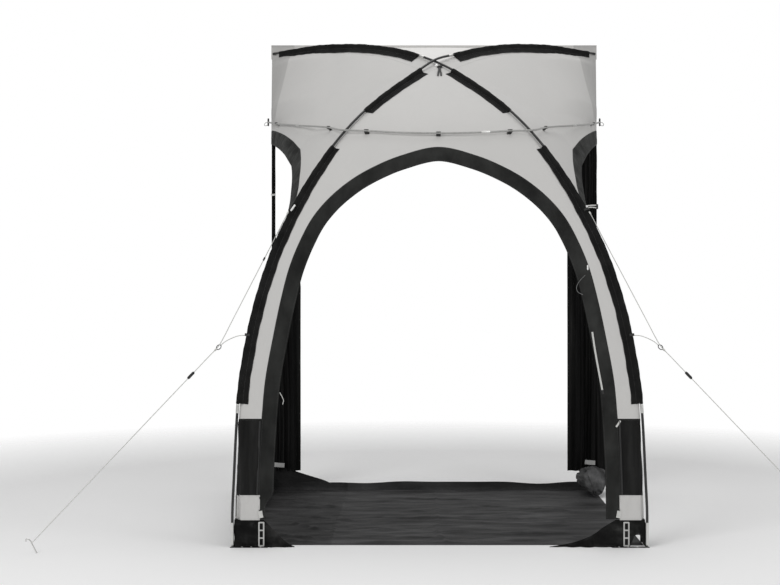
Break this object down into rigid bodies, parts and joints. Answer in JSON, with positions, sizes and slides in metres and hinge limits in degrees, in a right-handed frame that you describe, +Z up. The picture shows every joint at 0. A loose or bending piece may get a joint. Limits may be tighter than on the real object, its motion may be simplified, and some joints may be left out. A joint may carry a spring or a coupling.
{
  "type": "caravan awning",
  "caption": "Domed porch awning on crossed arch poles with a brow pole, an open doorway, open sides and guy lines.",
  "frame": {"origin": "on the ground, under the middle of the awning's width and depth, not counting its guy lines and gathered door panel; the ground mount is at the same place", "axes": "+X to the right seen from the front, the doorway faces -Y, the rail and the wall are at +Y, +Z up"},
  "size_m": [3.7614, 1.9538, 2.6285],
  "materials": {
    "pale_cloth": "light grey coated woven cloth",
    "black_cloth": "black coated woven cloth",
    "dark_trim_cloth": "dark grey binding cloth",
    "groundsheet_cloth": "dark grey coated sheet, creased",
    "black_fibreglass": "black pole tube with steel ferrules",
    "grey_fibreglass": "silver grey pole tube with steel ferrules",
    "bright_steel": "zinc plated",
    "black_plastic": "moulded, matt",
    "pale_plastic": "moulded, matt, light grey",
    "pale_cord": "light braided cord",
    "black_webbing": "woven tape",
    "dark_ring": "dark grey, worn"
  },
  "bodies": {
    "awning": {"front_panel": "pale_cloth", "roof_panel": "pale_cloth", "rail_bead": "pale_cloth", "left_side_panel": "pale_cloth", "left_leg_patch": "pale_cloth", "left_leg_panel": "black_cloth", "left_mud_flap": "black_cloth", "left_wall_flap": "black_cloth", "left_sleeve_lower": "black_cloth", "left_sleeve_upper": "black_cloth", "left_sleeve_rear": "black_cloth", "left_arch_trim": "dark_trim_cloth", "right_side_panel": "pale_cloth", "right_leg_patch": "pale_cloth", "right_leg_panel": "black_cloth", "right_mud_flap": "black_cloth", "right_wall_flap": "black_cloth", "right_sleeve_lower": "black_cloth", "right_sleeve_upper": "black_cloth", "right_sleeve_rear": "black_cloth", "right_arch_trim": "dark_trim_cloth", "door_trim": "dark_trim_cloth", "groundsheet": "groundsheet_cloth", "gathered_door_panel": "groundsheet_cloth", "left_foot_tube": "bright_steel", "left_pole_lower": "black_fibreglass", "left_pole_middle": "black_fibreglass", "left_pole_rear": "black_fibreglass", "right_foot_tube": "bright_steel", "right_pole_lower": "black_fibreglass", "right_pole_middle": "black_fibreglass", "right_pole_rear": "black_fibreglass", "brow_pole_left": "grey_fibreglass", "brow_pole_middle": "grey_fibreglass", "brow_pole_right": "grey_fibreglass", "brow_hook_left": "black_plastic", "brow_hook_right": "black_plastic", "crossing_tie": "black_webbing", "left_foot_strap": "black_webbing", "left_guy_line": "pale_cord", "left_guy_branch": "pale_cord", "left_guy_ring": "dark_ring", "left_guy_peg": "bright_steel", "right_foot_strap": "black_webbing", "right_guy_line": "pale_cord", "right_guy_branch": "pale_cord", "right_guy_ring": "dark_ring", "right_guy_peg": "bright_steel"},
    "clip_1": {"brow_clip_1": "black_plastic"},
    "clip_2": {"brow_clip_2": "black_plastic"},
    "clip_3": {"brow_clip_3": "black_plastic"},
    "clip_4": {"brow_clip_4": "black_plastic"},
    "clip_5": {"brow_clip_5": "black_plastic"},
    "clip_6": {"brow_clip_6": "black_plastic"},
    "clip_7": {"brow_clip_7": "black_plastic"},
    "left_runner": {"left_guy_runner": "black_plastic"},
    "left_ladder": {"left_peg_ladder": "pale_plastic"},
    "right_runner": {"right_guy_runner": "black_plastic"},
    "right_ladder": {"right_peg_ladder": "pale_plastic"},
    "toggle": {"door_toggle": "pale_cord"}
  },
  "joints": [
    {"name": "brow_clip_1_turn", "type": "hinge", "parent": "awning", "child": "clip_1", "pos_m": [-0.89364, 0.50119, 2.11951], "axis": [0.3142, -0.9407, -0.1275], "range_deg": [-20, 20]},
    {"name": "brow_clip_2_turn", "type": "hinge", "parent": "awning", "child": "clip_2", "pos_m": [-0.55758, -0.20233, 2.02281], "axis": [0.4046, -0.9039, -0.1385], "range_deg": [-20, 20]},
    {"name": "brow_clip_3_turn", "type": "hinge", "parent": "awning", "child": "clip_3", "pos_m": [-0.35374, -0.49739, 1.97381], "axis": [0.9149, -0.3963, -0.0772], "range_deg": [-20, 20]},
    {"name": "brow_clip_4_turn", "type": "hinge", "parent": "awning", "child": "clip_4", "pos_m": [0, -0.58662, 1.95334], "axis": [1, 0, 0], "range_deg": [-20, 20]},
    {"name": "brow_clip_5_turn", "type": "hinge", "parent": "awning", "child": "clip_5", "pos_m": [0.35374, -0.49739, 1.97381], "axis": [0.9149, 0.3963, 0.0772], "range_deg": [-20, 20]},
    {"name": "brow_clip_6_turn", "type": "hinge", "parent": "awning", "child": "clip_6", "pos_m": [0.55758, -0.20233, 2.02281], "axis": [0.4046, 0.9039, 0.1385], "range_deg": [-20, 20]},
    {"name": "brow_clip_7_turn", "type": "hinge", "parent": "awning", "child": "clip_7", "pos_m": [0.89364, 0.50119, 2.11951], "axis": [0.3142, 0.9407, 0.1275], "range_deg": [-20, 20]},
    {"name": "left_guy_runner_slide", "type": "slide", "parent": "awning", "child": "left_runner", "axis": [-0.6755, -0.1351, -0.7249], "range_m": [-0.09, 0.6]},
    {"name": "right_guy_runner_slide", "type": "slide", "parent": "awning", "child": "right_runner", "axis": [0.6755, -0.1351, -0.7249], "range_m": [-0.09, 0.6]},
    {"name": "left_peg_ladder_swing", "type": "hinge", "parent": "awning", "child": "left_ladder", "pos_m": [-0.82799, -0.8882, 0.1157], "axis": [-1, 0, 0], "range_deg": [0, 60]},
    {"name": "right_peg_ladder_swing", "type": "hinge", "parent": "awning", "child": "right_ladder", "pos_m": [0.86676, -0.88806, 0.1157], "axis": [-1, 0, 0], "range_deg": [0, 60]},
    {"name": "door_toggle_swing", "type": "hinge", "parent": "awning", "child": "toggle", "pos_m": [0.70314, -0.75493, 1.31022], "axis": [-1, 0, 0], "range_deg": [0, 40]}
  ]
}
